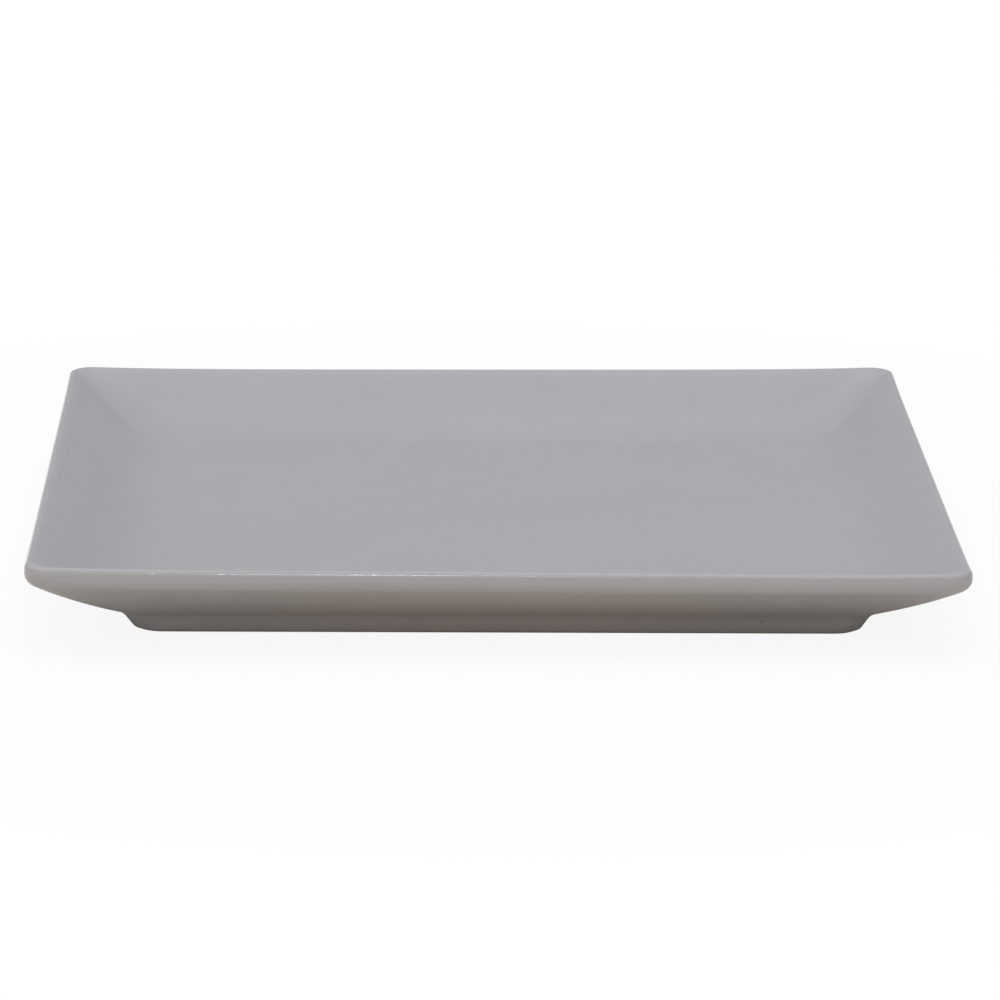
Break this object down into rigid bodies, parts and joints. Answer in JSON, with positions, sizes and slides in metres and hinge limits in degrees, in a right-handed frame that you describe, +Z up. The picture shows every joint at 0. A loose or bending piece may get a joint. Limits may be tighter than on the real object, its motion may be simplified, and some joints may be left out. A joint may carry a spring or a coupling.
{
  "type": "dessert plate",
  "caption": "Square stoneware dessert plate with a flat well, a wide cove, sloped walls, a round-edged lip and a tapered foot ring, glazed all over except the standing face.",
  "frame": {"origin": "centre of the foot ring's standing face, on the table", "axes": "+Z up out of the well, +X along the edge that faces the viewer, +Y away from the viewer"},
  "size_m": [0.2, 0.2, 0.0193],
  "materials": {
    "clay": "bare fired stoneware, matte",
    "glaze": "light cool grey glaze, satin to gloss"
  },
  "bodies": {
    "root": {"clay_body": "clay", "face_glaze": "glaze", "base_glaze": "glaze"}
  },
  "joints": []
}
